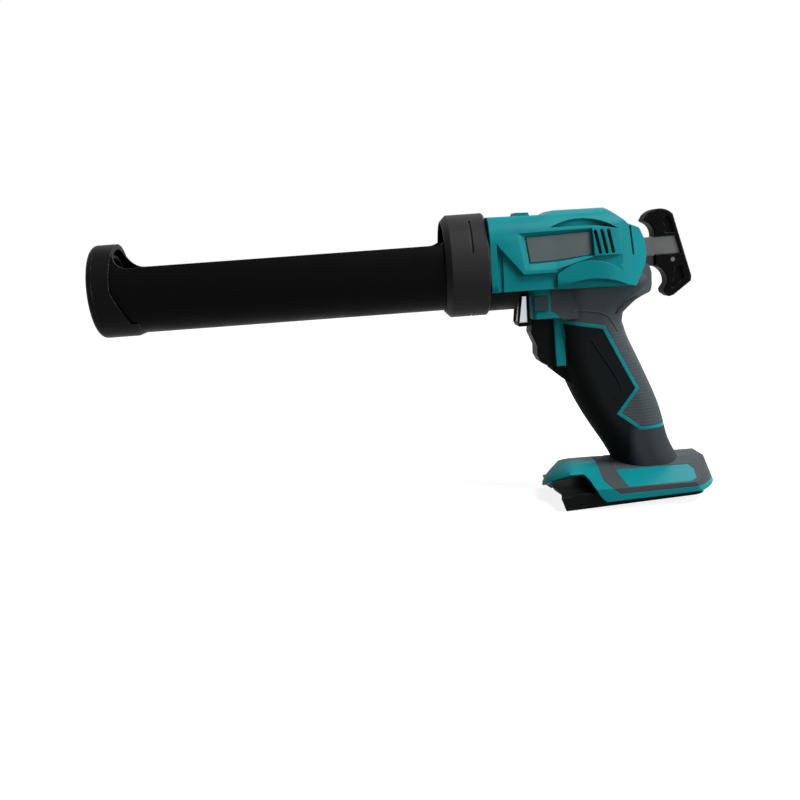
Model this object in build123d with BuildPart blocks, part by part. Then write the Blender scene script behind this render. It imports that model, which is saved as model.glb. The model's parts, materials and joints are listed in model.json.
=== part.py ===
"""Cordless caulking tool: cartridge cradle, rack drive, moulded housing, grip and battery foot.

Lengths are millimetres. X runs back along the plunger axis, Z points up, Y points to the tool's
right-hand side, and the origin is the centre of the nozzle hole on the front face of the cap.
"""
import os
from math import acos, cos, degrees, pi, radians, sin, tan

from build123d import *

os.makedirs("parts", exist_ok=True)

# Fits
seat_gap = 0.05
slide_gap = 0.15
swivel_gap = 0.3
loose_gap = 0.3
far = 200.0

# Cartridge cradle, a trough of bent sheet with a closed ring at each end
cartridge_diameter = 50.0
cartridge_clearance = 0.4
cradle_sheet = 1.6
cradle_length = 229.0
cradle_edge_height = 13.6
cradle_edge_radius = 10.0
cradle_front_ring = 11.0
cradle_rear_ring = 14.0
cradle_lip = 2.2
cradle_lip_thickness = 2.0

# Front cap
cap_plate = 4.0
cap_skirt = 1.6
cap_round = 3.6
cap_side_length = 14.0
cap_top_length = 16.0
cap_lip_length = 22.6
cap_lip_taper = 4.4
cap_lip_height = -20.0
nozzle_diameter = 26.0

# Collar nut
collar_diameter = 63.6
collar_lip_length = 15.7
collar_length = 26.6
collar_chamfer = 3.4
collar_rear_chamfer = 1.0

# Gear case
nose_wall = 6.0
nose_rim = 4.0
under_nose_rear = 12.0
under_nose_top = -17.3
case_cheek = 3.4
case_channel = 23.2
case_top = 13.5
case_bottom = -29.5
case_front_cheek = 41.0
case_rear_cheek = 59.0
case_floor = -12.0
case_corner = 6.0

# Plunger rod: a flat bar with a toothed rack below it
bar_width = 8.0
bar_height = 11.3
bar_top = 9.5
rack_height = 6.7
gear_module = 1.5
pinion_teeth = 12
pinion_width = 8.0
backlash = 0.4
mesh_gap = 0.15
pressure_angle = 20.0
plunger_diameter = 44.0
plunger_plate = 4.0
plunger_length = 8.0
plunger_wall = 2.0
plunger_gap = 0.5
plunger_stop = 3.0
plunger_screw_diameter = 4.0
plunger_screw_length = 14.0
bush_wall = 3.0
rear_bush_length = 7.0
rear_bush_place = 81.0

# Gear stage between gearbox and pinion shaft
stage_module = 1.0
drive_gear_teeth = 24
output_gear_teeth = 12
stage_width = 5.0
stage_offset = 5.6
shaft_diameter = 6.0
shaft_bush_wall = 2.0
output_shaft_diameter = 5.0
shaft_place = 50.0

# Gearbox and motor, leaning back with the grip
motor_lean = 22.0
motor_diameter = 27.0
motor_length = 38.0
motor_cap_length = 5.0
motor_cap_step = 3.0
motor_round = 1.5
gearbox_length = 24.0
gearbox_head_diameter = 14.4
gearbox_head_near = 11.0
gearbox_neck = 8.0
gearbox_end_wall = 1.0

# Housing body
body_reach = 5.4
body_half_width = 29.0
body_rear_half_width = 18.0
body_taper_start = 62.0
body_wall = 4.4
body_top = 30.0
body_bottom = -19.0
body_front_bottom = -17.0
body_roof_radius = 17.0
body_floor_radius = 7.0
body_shoulder = 69.5
body_length = 92.4
body_crease = 1.5
label_floor = 26.2
label_thickness = 0.8
brow_floor = 25.4
panel_floor = 26.8
panel_groove_floor = 25.7
cheek_floor = 26.0
rear_groove_floor = 23.3
top_bump_half_width = 9.0
vent_width = 2.0
vent_pitch = 4.0
vent_count = 3
vent_lean = 12.0
vent_middle = 63.6
vent_level = 9.2
vent_length = 15.0

# Grip: height, front, back and half width of its sections
grip_wall = 1.6
pad_thickness = 1.6
piping_width = 2.2
grip_corner = 0.86
grip_sections = [
    (-12.0, 34.5, 94.0, 25.0), (-24.0, 34.5, 90.0, 22.5), (-36.0, 35.0, 80.5, 20.0),
    (-52.0, 36.5, 83.0, 18.4), (-70.0, 40.5, 91.0, 18.0), (-88.0, 47.5, 98.6, 18.0),
    (-106.0, 57.0, 104.3, 18.6), (-124.0, 68.0, 109.5, 20.0), (-141.0, 75.0, 114.0, 21.0),
]
hump_middle = 78.0
hump_reach = 22.3
hump_half_width = 18.0
nub_half_width = 9.0

# Trigger, selector and work light
frame_half_width = 20.5
frame_front = 20.0
frame_rear = 46.0
frame_floor = -35.5
frame_corner = 3.0
guard_wall = 3.0
trigger_travel = 6.0
trigger_half_width = 9.5
trigger_wall = 1.6
trigger_back = 35.5
trigger_top = -36.0
trigger_bottom = -66.2
switch_half_width = 7.0
switch_front = 33.4
switch_rear = 46.0
switch_top = -41.0
switch_bottom = -57.0
selector_length = 8.6
selector_height = 9.2
selector_place = 25.4
selector_level = -25.9
selector_corner = 1.0
selector_proud = 0.8
selector_travel = 4.0
lamp_half_width = 8.0
lamp_bezel = 1.3
lamp_front = 13.2
lamp_back = 18.6
lamp_slant = 2.4
lamp_top = -21.5
lamp_bottom = -37.9
holder_bottom = -40.3

# Pull handle
handle_half_width = 6.0
handle_back_wall = 2.2
handle_chamfer = 0.7
handle_pin_diameter = 3.0
handle_pin_place = 113.0
handle_top = 22.8
handle_top_place = 113.6
handle_toe = -16.5
handle_end = 124.8
handle_hub = 101.5
handle_pocket = 1.4
socket_front = 90.0

# Battery foot
foot_half_width = 36.0
foot_top_half_width = 8.0
foot_top = -132.0
foot_shoulder = -142.5
foot_front = 25.0
foot_front_radius = 12.0
foot_end = 137.5
foot_end_radius = 46.5
foot_end_slant = 20.0
foot_bottom = -152.0
foot_wall = 2.4
foot_pad_thickness = 1.2
rail_half_width = 31.0
rail_ceiling = -146.0
rail_plate = 2.0
rail_cheek = 3.4
rail_lip = 4.0
rail_lip_height = 2.4
rail_front = 30.2
rail_rear = 122.0
rail_heel = 124.0
rail_heel_top = -149.0
rail_low_front = -156.3
rail_low_rear = -151.8
rail_corner = 9.0
rail_tongue_front = 62.0
rail_tongue_rear = 112.0
board_thickness = 1.6
board_standoff = 3.0
board_post_diameter = 4.4
board_middle = 82.0
board_length = 42.0
board_width = 34.0
chip_height = 3.0
terminal_front = 72.0
terminal_length = 28.0
terminal_width = 26.0
terminal_height = 4.0
blade_pitch = 8.0
blade_thickness = 0.8
blade_height = 2.6
blade_front = 60.0
blade_length = 19.5

# Housing screws
screw_diameter = 3.0
screw_head_diameter = 5.6
screw_head_height = 2.2
screw_head_level = 14.0
screw_tip_level = -8.0
boss_diameter = 7.0
rib_places = [56.0, 78.0]
rib_thickness = 2.4

# Places along the plunger axis that follow from the sizes above
cradle_inner_r = cartridge_diameter / 2 + cartridge_clearance
cradle_outer_r = cradle_inner_r + cradle_sheet
cap_inner_r = cradle_outer_r + seat_gap
cap_r = cap_inner_r + cap_skirt
cradle_rear = cap_plate + cradle_length
lip_r = cradle_outer_r + cradle_lip
nose_r = lip_r + swivel_gap
nose_front = cradle_rear + swivel_gap
pocket_front = cradle_rear - cradle_lip_thickness - swivel_gap
collar_front = pocket_front - collar_lip_length
collar_rear = collar_front + collar_length
housing_front = collar_rear + loose_gap
body_front = housing_front + body_reach
rack_top = bar_top - bar_height
rack_bottom = rack_top - rack_height
rack_mid = (rack_top + rack_bottom) / 2
rod_mid = (bar_top + rack_bottom) / 2
bar_mid = bar_top - bar_height / 2
pinion_r = gear_module * pinion_teeth / 2
rack_pitch = pi * gear_module
shaft_x = body_front + shaft_place
shaft_z = rack_bottom + gear_module - pinion_r - mesh_gap
stage_distance = stage_module * (drive_gear_teeth + output_gear_teeth) / 2 + mesh_gap
lean = radians(motor_lean)
plunger_front = cap_plate + plunger_gap
bar_front = plunger_front + plunger_plate
stroke = nose_front - plunger_stop - plunger_front - plunger_length
case_half_channel = case_channel / 2
case_half_width = case_half_channel + case_cheek
bush_half_width = bar_width / 2 + slide_gap + bush_wall
bush_height = bar_height + rack_height + 2 * (slide_gap + bush_wall)
rear_bush_front = body_front + rear_bush_place
rod_passage_width = bar_width + 2 * slide_gap
rod_passage_height = bar_height + rack_height + 2 * slide_gap


def at(along, height):
    """Point of a side view, measured back from the front of the housing."""
    return (body_front + along, height)


def along_motor(distance):
    """Point on the leaning motor axis, measured from the pinion shaft."""
    return (shaft_x + distance * sin(lean), 0, shaft_z - distance * cos(lean))


def motor_plane(distance):
    """Plane across the motor axis whose normal points down the grip."""
    return Plane(origin=along_motor(distance), x_dir=(0, 1, 0), z_dir=(sin(lean), 0, -cos(lean)))


def save(builder, name):
    """Label a finished piece and write it under its own name."""
    builder.part.label = name
    export_step(builder.part, f"parts/{name}.step")


def side_face(points):
    """Closed straight-sided face through points of the current sketch's own plane."""
    Polygon(*points, align=None)


def tooth_points(module, teeth, thinning):
    """Outline of one involute tooth that points along +x, from below the root to the tip."""
    pitch_r = module * teeth / 2
    base_r = pitch_r * cos(radians(pressure_angle))
    root_r = pitch_r - 1.25 * module
    tip_r = pitch_r + 0.95 * module

    def involute(angle):
        return tan(angle) - angle

    def half_angle(radius):
        at_pitch = pi / (2 * teeth) - thinning / (2 * pitch_r)
        turn = acos(min(1.0, base_r / max(radius, base_r)))
        return at_pitch + involute(radians(pressure_angle)) - involute(turn)

    radii = [root_r - 0.3 * module, max(base_r, root_r), pitch_r, (pitch_r + tip_r) / 2, tip_r]
    lower = [(r * cos(half_angle(r)), -r * sin(half_angle(r))) for r in radii]
    upper = [(x, -y) for x, y in reversed(lower)]
    return lower + upper


def gear_sketch(module, teeth, bore, turn):
    """Toothed disc with a bore, one tooth pointing at the angle turn, in the current sketch."""
    Circle(module * teeth / 2 - 1.25 * module)
    with PolarLocations(0, teeth, start_angle=turn):
        Polygon(*tooth_points(module, teeth, backlash / 2), align=None)
    if bore:
        Circle(bore / 2, mode=Mode.SUBTRACT)


# Front cap: end plate with the nozzle hole, and a skirt that is longer below
with BuildPart() as front_cap:
    with BuildSketch(Plane.YZ):
        Circle(cap_r)
        Circle(nozzle_diameter / 2, mode=Mode.SUBTRACT)
    extrude(amount=cap_plate)
    front_rim = front_cap.edges().filter_by(GeomType.CIRCLE).group_by(Axis.X)[0].sort_by(SortBy.RADIUS)[-1]
    fillet(front_rim, cap_round)
save(front_cap, "front_cap")

with BuildPart() as skirt:
    with BuildSketch(Plane.XZ):
        side_face([
            (cap_plate, cap_inner_r), (cap_plate, cap_r), (cap_lip_length, cap_r),
            (cap_lip_length + cap_lip_taper, cap_inner_r),
        ])
    revolve(axis=Axis.X)
    with BuildSketch(Plane.XZ):
        side_face([
            (cap_top_length, 2 * cap_r), (cap_side_length, 0), (cap_lip_length, cap_lip_height),
            (3 * cap_lip_length, cap_lip_height), (3 * cap_lip_length, 2 * cap_r),
        ])
    extrude(amount=2 * cap_r, both=True, mode=Mode.SUBTRACT)
save(skirt, "cap_skirt")

# Cartridge cradle: rolled trough, open above, with a turned-out lip at the rear
with BuildPart() as cradle:
    with BuildSketch(Plane.YZ.offset(cap_plate)):
        Circle(cradle_outer_r)
        Circle(cradle_inner_r, mode=Mode.SUBTRACT)
    extrude(amount=cradle_length)
    with BuildSketch(Plane.YZ.offset(cradle_rear - cradle_lip_thickness)):
        Circle(lip_r)
        Circle(cradle_inner_r, mode=Mode.SUBTRACT)
    extrude(amount=cradle_lip_thickness)
    with BuildSketch(Plane.XZ) as opening:
        gap_front = cap_plate + cradle_front_ring
        gap_rear = cradle_rear - cradle_rear_ring
        side_face([
            (gap_front, cradle_edge_height), (gap_rear, cradle_edge_height),
            (gap_rear, 2 * cradle_outer_r), (gap_front, 2 * cradle_outer_r),
        ])
        fillet(opening.vertices().group_by(Axis.Y)[0], cradle_edge_radius)
    extrude(amount=2 * cradle_outer_r, both=True, mode=Mode.SUBTRACT)
save(cradle, "cartridge_cradle")

# Collar nut: stepped ring that traps the cradle's lip against the nose
with BuildPart() as collar:
    collar_r = collar_diameter / 2
    collar_bore = cradle_outer_r + swivel_gap
    pocket_r = nose_r + seat_gap
    with BuildSketch(Plane.XZ):
        side_face([
            (collar_front, collar_bore), (collar_front, collar_r - collar_chamfer),
            (collar_front + collar_chamfer, collar_r), (collar_rear - collar_rear_chamfer, collar_r),
            (collar_rear, collar_r - collar_rear_chamfer), (collar_rear, pocket_r),
            (pocket_front, pocket_r), (pocket_front, collar_bore),
        ])
    revolve(axis=Axis.X)
save(collar, "collar_nut")

# Gear case: round nose in front, open-bottomed frame for the rack and pinion behind
with BuildPart() as gear_case:
    nose_rear = nose_front + nose_wall
    frame_length = body_front + case_rear_cheek - nose_rear
    with BuildSketch(Plane.YZ.offset(nose_front)):
        Circle(nose_r)
    extrude(amount=housing_front - nose_front)
    with BuildSketch(Plane.YZ.offset(nose_rear)):
        Circle(nose_r - nose_rim)
    extrude(amount=nose_wall, mode=Mode.SUBTRACT)
    with BuildSketch(Plane.YZ.offset(nose_rear)):
        with Locations((0, (case_top + case_floor) / 2)):
            Rectangle(2 * case_half_width, case_top - case_floor)
    extrude(amount=frame_length)
    with BuildSketch(Plane.XZ) as cheek_face:
        side_face([
            at(case_front_cheek, case_floor + case_cheek), at(case_rear_cheek, case_floor + case_cheek),
            at(case_rear_cheek, case_bottom), at(case_front_cheek, case_bottom),
        ])
        chamfer(cheek_face.vertices().group_by(Axis.Y)[0], case_corner)
    extrude(amount=case_half_width, both=True)
    with BuildSketch(Plane.YZ.offset(nose_rear)):
        channel_top = bar_top + slide_gap
        channel_height = channel_top - case_bottom + case_cheek
        with Locations((0, channel_top - channel_height / 2)):
            Rectangle(case_channel, channel_height)
    extrude(amount=2 * frame_length, mode=Mode.SUBTRACT)
    with BuildSketch(Plane.XZ):
        with Locations((shaft_x, shaft_z)):
            Circle(shaft_diameter / 2 + shaft_bush_wall)
    extrude(amount=2 * case_half_width, both=True, mode=Mode.SUBTRACT)
    with BuildSketch(Plane.YZ.offset(nose_front)):
        with Locations((0, rod_mid)):
            Rectangle(2 * bush_half_width, bush_height)
    extrude(amount=nose_wall, mode=Mode.SUBTRACT)
    with BuildSketch(Plane.YZ.offset(nose_rear)):
        Circle(nose_r)
        with Locations((0, under_nose_top + nose_r)):
            Rectangle(4 * nose_r, 2 * nose_r, mode=Mode.SUBTRACT)
    extrude(amount=body_front + under_nose_rear - nose_rear)
save(gear_case, "gear_case")

# Rod bushes: one pressed into the nose, one held in the rear of the housing


def rod_bush(start, length):
    """Rectangular guide ring round the bar and its rack."""
    with BuildPart() as bush:
        with BuildSketch(Plane.YZ.offset(start)):
            with Locations((0, rod_mid)):
                Rectangle(2 * (bush_half_width - seat_gap), bush_height - 2 * seat_gap)
                Rectangle(rod_passage_width, rod_passage_height, mode=Mode.SUBTRACT)
        extrude(amount=length)
    return bush


rod_bush_front = rod_bush(nose_front, nose_wall)
save(rod_bush_front, "rod_bush_front")
rod_bush_rear = rod_bush(rear_bush_front, rear_bush_length)
save(rod_bush_rear, "rod_bush_rear")

# Plunger bar


def handle_back(height, wall):
    """Point at a depth inside the slanted back edge of the pull handle."""
    slope = (handle_end - handle_top_place) / (handle_top - handle_toe)
    return at(handle_top_place + (handle_top - height) * slope - wall, height)


with BuildPart() as bar:
    with BuildSketch(Plane.XZ):
        side_face([
            (bar_front, rack_top), handle_back(rack_top, handle_back_wall),
            handle_back(bar_top, handle_back_wall), (bar_front, bar_top),
        ])
    extrude(amount=bar_width / 2, both=True)
    with BuildSketch(Plane.YZ.offset(bar_front)):
        with Locations((0, bar_mid)):
            Circle(plunger_screw_diameter / 2 + seat_gap)
    extrude(amount=plunger_screw_length, mode=Mode.SUBTRACT)
save(bar, "plunger_bar")

# Rack below the bar: teeth over the stroke, with a gap above the pinion shaft at rest
rack_gap_depth = 2.25 * gear_module
rack_gap_mouth = rack_pitch / 2 + 2 * gear_module * tan(radians(pressure_angle)) + backlash / 2
rack_gap_floor = rack_gap_mouth - 2 * rack_gap_depth * tan(radians(pressure_angle))
gaps_ahead = int(stroke / rack_pitch) + 3
gaps_behind = 3
with BuildPart() as rack:
    with BuildSketch(Plane.XZ):
        side_face([
            (bar_front, rack_bottom), handle_back(rack_bottom, handle_back_wall),
            handle_back(rack_top, handle_back_wall), (bar_front, rack_top),
        ])
        gap_places = [(shaft_x + k * rack_pitch, rack_bottom) for k in range(-gaps_ahead, gaps_behind + 1)]
        with Locations(*gap_places):
            Polygon(
                (-rack_gap_mouth / 2, 0), (rack_gap_mouth / 2, 0),
                (rack_gap_floor / 2, rack_gap_depth), (-rack_gap_floor / 2, rack_gap_depth),
                align=None, mode=Mode.SUBTRACT,
            )
        with Locations(at(handle_pin_place, rack_mid)):
            Circle(handle_pin_diameter / 2 + seat_gap, mode=Mode.SUBTRACT)
    extrude(amount=bar_width / 2, both=True)
save(rack, "plunger_rack")

# Plunger disc and the screw that holds it to the bar
screw_head_r = plunger_screw_diameter
screw_head = plunger_plate / 2
with BuildPart() as plunger:
    with BuildSketch(Plane.YZ.offset(plunger_front)):
        Circle(plunger_diameter / 2)
    extrude(amount=plunger_length)
    front_edge = plunger.edges().group_by(Axis.X)[0]
    chamfer(front_edge, 1.0)
    with BuildSketch(Plane.YZ.offset(plunger_front + plunger_plate)):
        Circle(plunger_diameter / 2 - plunger_wall)
    extrude(amount=plunger_length, mode=Mode.SUBTRACT)
    with BuildSketch(Plane.YZ.offset(plunger_front)):
        with Locations((0, bar_mid)):
            Circle(plunger_screw_diameter / 2 + seat_gap)
    extrude(amount=plunger_plate, mode=Mode.SUBTRACT)
    with BuildSketch(Plane.YZ.offset(plunger_front)):
        with Locations((0, bar_mid)):
            Circle(screw_head_r + seat_gap)
    extrude(amount=screw_head, mode=Mode.SUBTRACT)
save(plunger, "plunger_disc")

with BuildPart() as plunger_screw:
    with BuildSketch(Plane.YZ.offset(plunger_front)):
        with Locations((0, bar_mid)):
            Circle(screw_head_r)
    extrude(amount=screw_head)
    with BuildSketch(Plane.YZ.offset(plunger_front)):
        with Locations((0, bar_mid)):
            Circle(plunger_screw_diameter / 2)
    extrude(amount=plunger_plate + plunger_screw_length - 1)
save(plunger_screw, "plunger_screw")

# Pull handle: two finger hooks on a hub that lets the bar show on both sides
upper_pocket = [
    at(108.2, 22.2), at(111.8, 20.8), at(114.4, bar_top + 2), at(108.0, bar_top + 2), at(109.2, 14.4), at(107.0, 18.5),
]
lower_pocket = [
    at(114.2, -9.6), at(118.4, -9.2), at(120.2, -16.8), at(112.8, -23.4), at(111.0, -21.6), at(113.8, -16.2),
]
with BuildPart() as handle:
    with BuildSketch(Plane.XZ) as hooks:
        with BuildLine():
            ThreePointArc(at(handle_top_place, handle_top), at(104.6, 26.7), at(96.4, 23.0))
            Polyline(at(96.4, 23.0), at(94.7, 20.0), at(95.7, 19.1))
            ThreePointArc(at(95.7, 19.1), at(100.3, 15.4), at(handle_hub, bar_top))
            Line(at(handle_hub, bar_top), at(handle_hub, rack_bottom))
            ThreePointArc(at(handle_hub, rack_bottom), at(107.9, -13.4), at(109.2, -19.8))
            Polyline(
                at(109.2, -19.8), at(106.6, -23.6), at(107.2, -26.0), at(110.4, -28.4), at(113.2, -27.6),
                at(handle_end - 0.4, handle_toe - 3), at(handle_end, handle_toe), at(handle_top_place, handle_top),
            )
        make_face()
    extrude(amount=handle_half_width, both=True)
    chamfer(handle.edges().filter_by(Plane.XZ), handle_chamfer)
    for side in (1, -1):
        with BuildSketch(Plane.XZ.offset(side * (handle_half_width - handle_pocket))):
            side_face(upper_pocket)
            side_face(lower_pocket)
        extrude(amount=side * far, mode=Mode.SUBTRACT)
    with BuildSketch(Plane.XZ):
        side_face([
            at(socket_front, rack_bottom - seat_gap), handle_back(rack_bottom - seat_gap, handle_back_wall),
            handle_back(bar_top + seat_gap, handle_back_wall), at(socket_front, bar_top + seat_gap),
        ])
    extrude(amount=bar_width / 2 + seat_gap, both=True, mode=Mode.SUBTRACT)
    with BuildSketch(Plane.XZ):
        side_face([
            at(socket_front, rack_top), handle_back(rack_top, handle_back_wall),
            handle_back(bar_top, handle_back_wall), at(socket_front, bar_top),
        ])
    extrude(amount=2 * handle_half_width, both=True, mode=Mode.SUBTRACT)
    with BuildSketch(Plane.XZ):
        with Locations(at(handle_pin_place, rack_mid)):
            Circle(handle_pin_diameter / 2 + seat_gap)
    extrude(amount=2 * handle_half_width, both=True, mode=Mode.SUBTRACT)
save(handle, "pull_handle")

with BuildPart() as handle_pin:
    with BuildSketch(Plane.XZ):
        with Locations(at(handle_pin_place, rack_mid)):
            Circle(handle_pin_diameter / 2)
    extrude(amount=handle_half_width - loose_gap, both=True)
save(handle_pin, "handle_pin")

# Pinion, drive gear and their shaft
with BuildPart() as pinion:
    with BuildSketch(Plane.XZ.offset(-pinion_width / 2)):
        with Locations((shaft_x, shaft_z)):
            gear_sketch(gear_module, pinion_teeth, shaft_diameter + 2 * seat_gap, 90)
    extrude(amount=pinion_width)
save(pinion, "rack_pinion")

motor_angle = degrees(-pi / 2 + lean)
with BuildPart() as drive_gear:
    with BuildSketch(Plane.XZ.offset(-stage_offset - stage_width)):
        with Locations((shaft_x, shaft_z)):
            gear_sketch(stage_module, drive_gear_teeth, shaft_diameter + 2 * seat_gap, motor_angle)
    extrude(amount=stage_width)
save(drive_gear, "drive_gear")

with BuildPart() as pinion_shaft:
    with BuildSketch(Plane.XZ):
        with Locations((shaft_x, shaft_z)):
            Circle(shaft_diameter / 2)
    extrude(amount=case_half_width, both=True)
save(pinion_shaft, "pinion_shaft")

with BuildPart() as shaft_bushes:
    for side in (1, -1):
        with BuildSketch(Plane.XZ.offset(side * case_half_channel)):
            with Locations((shaft_x, shaft_z)):
                Circle(shaft_diameter / 2 + shaft_bush_wall - seat_gap)
                Circle(shaft_diameter / 2 + seat_gap, mode=Mode.SUBTRACT)
        extrude(amount=side * case_cheek)
save(shaft_bushes, "shaft_bushes")

# Output gear of the gearbox, in one piece with its shaft
output_x, _, output_z = along_motor(stage_distance)
with BuildPart() as output_gear:
    half_tooth = 180 / output_gear_teeth
    with BuildSketch(Plane.XZ.offset(-stage_offset - stage_width)):
        with Locations((output_x, output_z)):
            gear_sketch(stage_module, output_gear_teeth, 0, motor_angle + 180 + half_tooth)
    extrude(amount=stage_width)
    with BuildSketch(Plane.XZ.offset(-stage_offset)):
        with Locations((output_x, output_z)):
            Circle(output_shaft_diameter / 2)
    extrude(amount=stage_offset + gearbox_head_near - gearbox_end_wall)
save(output_gear, "output_gear")

# Gearbox: right-angle head on a round planetary stage
head_far = stage_offset - loose_gap
gearbox_top = stage_distance + gearbox_neck
with BuildPart() as gearbox:
    with BuildSketch(motor_plane(gearbox_top)):
        Circle(motor_diameter / 2)
    extrude(amount=gearbox_length)
    with BuildSketch(Plane.XZ.offset(-head_far)):
        with Locations((output_x, output_z)):
            Circle(gearbox_head_diameter / 2)
    extrude(amount=head_far + gearbox_head_near)
    with BuildSketch(motor_plane(stage_distance)):
        with Locations(((head_far - gearbox_head_near) / 2, 0)):
            Rectangle(head_far + gearbox_head_near, gearbox_head_diameter)
    extrude(amount=gearbox_neck)
    with BuildSketch(Plane.XZ.offset(-head_far)):
        with Locations((output_x, output_z)):
            Circle(output_shaft_diameter / 2 + seat_gap)
    extrude(amount=head_far + gearbox_head_near - gearbox_end_wall / 2, mode=Mode.SUBTRACT)
save(gearbox, "gearbox")

# Motor can and its end cap
motor_top = gearbox_top + gearbox_length
with BuildPart() as motor:
    with BuildSketch(motor_plane(motor_top)):
        Circle(motor_diameter / 2)
    extrude(amount=motor_length)
    bottom_rim = motor.edges().filter_by(GeomType.CIRCLE).sort_by(Axis.Z)[0]
    fillet(bottom_rim, motor_round)
save(motor, "motor_can")

with BuildPart() as motor_cap:
    with BuildSketch(motor_plane(motor_top + motor_length)):
        Circle(motor_diameter / 2 - motor_cap_step)
    extrude(amount=motor_cap_length)
    cap_rim = motor_cap.edges().filter_by(GeomType.CIRCLE).sort_by(Axis.Z)[0]
    fillet(cap_rim, motor_round)
save(motor_cap, "motor_end_cap")

# Outer and inner forms of the moulded housing, as left halves; the right halves are their mirror images
body_outline = [
    at(-body_reach, 28.4), at(32.0, 27.6), at(36.5, body_top), at(body_shoulder, body_top - 0.5), at(82.2, 21.0),
    at(88.4, 15.4), at(91.0, 8.5), at(body_length, -0.5), at(91.2, -6.5), at(84.0, body_bottom),
    at(20.0, body_front_bottom), at(-body_reach, body_front_bottom),
]


def body_form(inset):
    """Upper body as a solid: side outline, cross-section and plan in common."""
    half = body_half_width - inset
    rear_half = body_rear_half_width - inset
    taper_x = body_front + body_taper_start
    rear_x = body_front + body_length
    with BuildPart() as form:
        with BuildSketch(Plane.XZ) as side:
            side_face(body_outline)
            if inset:
                offset(amount=-inset, kind=Kind.INTERSECTION)
            else:
                fillet(side.vertices().filter_by(lambda v: v.X > body_front), body_crease)
        extrude(amount=far, both=True)
        with BuildSketch(Plane.YZ.offset(housing_front)) as section:
            with Locations((0, (body_top + body_bottom) / 2)):
                Rectangle(2 * half, body_top - body_bottom - 2 * inset)
            fillet(section.vertices().group_by(Axis.Y)[-1], body_roof_radius - inset)
            fillet(section.vertices().group_by(Axis.Y)[0], body_floor_radius - inset)
        extrude(amount=far, mode=Mode.INTERSECT)
        with BuildSketch(Plane.XY.offset(-far)):
            with BuildLine():
                Polyline((taper_x, -half), (housing_front, -half), (housing_front, half), (taper_x, half))
                TangentArc((taper_x, half), (rear_x, rear_half), tangent=(1, 0))
                Line((rear_x, rear_half), (rear_x, -rear_half))
                TangentArc((taper_x, -half), (rear_x, -rear_half), tangent=(1, 0))
            make_face()
        extrude(amount=2 * far, mode=Mode.INTERSECT)
        split(bisect_by=Plane.XZ, keep=Keep.TOP)
    return form.part


def grip_form(inset):
    """Grip as a solid lofted through rounded sections."""
    with BuildPart() as form:
        for height, front, back, half in grip_sections:
            with BuildSketch(Plane.XY.offset(height)):
                with Locations((body_front + (front + back) / 2, 0)):
                    RectangleRounded(back - front - 2 * inset, 2 * (half - inset), grip_corner * half - inset)
        loft()
        split(bisect_by=Plane.XZ, keep=Keep.TOP)
    return form.part


def foot_form(inset):
    """Battery foot: roofed cross-section and rounded rear end, both drawn in by inset, and a hooded front."""
    with BuildPart() as form:
        with BuildSketch(Plane.XZ):
            with BuildLine():
                Polyline(
                    at(48.0, foot_top), at(128.5, foot_top), at(134.0, -135.8), at(142.0, -147.5), at(58.5, -151.0),
                    at(44.5, -140.2),
                )
                ThreePointArc(at(44.5, -140.2), at(35.5, -142.2), at(29.5, -147.6))
                Polyline(at(29.5, -147.6), at(26.8, -149.0), at(foot_front, -146.6))
                ThreePointArc(at(foot_front, -146.6), at(33.2, -136.6), at(48.0, foot_top))
            make_face()
        extrude(amount=far, both=True)
        with BuildSketch(Plane.YZ.offset(body_front)):
            side_face([
                (-foot_half_width, -far), (foot_half_width, -far), (foot_half_width, foot_shoulder),
                (foot_top_half_width, foot_top), (-foot_top_half_width, foot_top),
                (-foot_half_width, foot_shoulder),
            ])
            if inset:
                offset(amount=-inset, kind=Kind.INTERSECTION)
        extrude(amount=far, mode=Mode.INTERSECT)
        with BuildSketch(Plane.XY.offset(foot_bottom)):
            with Locations((body_front + foot_end - far, 0)):
                SlotOverall(2 * (far - inset), 2 * (foot_end_radius - inset))
        extrude(amount=foot_top - foot_bottom, taper=foot_end_slant, mode=Mode.INTERSECT)
        with BuildSketch(Plane.XY.offset(-far)) as plan:
            with Locations((body_front + foot_front + far / 2, 0)):
                Rectangle(far, 2 * foot_half_width)
            fillet(plan.vertices().group_by(Axis.X)[0], foot_front_radius)
        extrude(amount=far, mode=Mode.INTERSECT)
        split(bisect_by=Plane.XZ, keep=Keep.TOP)
    return form.part


body_outer = body_form(0)
grip_outer = grip_form(0)
grip_core = grip_form(pad_thickness)
grip_inner = grip_form(pad_thickness + grip_wall)
foot_outer = foot_form(0)
foot_core = foot_form(foot_pad_thickness)

# Trigger frame: block between the body, the grip and the work light
with BuildPart() as trigger_frame:
    with BuildSketch(Plane.XZ):
        side_face([
            at(frame_front, -15), at(frame_front, frame_floor), at(38, frame_floor), at(frame_rear, -30),
            at(frame_rear, -15),
        ])
    extrude(amount=frame_half_width)
    fillet(trigger_frame.edges().filter_by(Axis.Z).group_by(Axis.X)[0].sort_by(Axis.Y)[0], frame_corner)

# Grip pads: the outer skin of the grip, divided along a raised line of the housing
pad_line = [
    at(20, -36.5), at(39.2, -38.5), at(64.2, -43.4), at(84.6, -83.7), at(72.5, -99.0), at(85.9, -109.2),
    at(130, -109.6),
]
below_pad_line = pad_line + [at(130, -far), at(20, -far)]
with BuildPart() as grip_skin:
    add(grip_outer)
    add(grip_core, mode=Mode.SUBTRACT)
    add(body_outer, mode=Mode.SUBTRACT)
    add(foot_outer, mode=Mode.SUBTRACT)
    add(trigger_frame.part, mode=Mode.SUBTRACT)
    with BuildSketch(Plane.XZ):
        side_face([at(0, 0), at(38.5, -33), at(43.5, -60), at(44.2, -67.2), at(40, -72), at(0, -72)])
    extrude(amount=far, both=True, mode=Mode.SUBTRACT)

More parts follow.
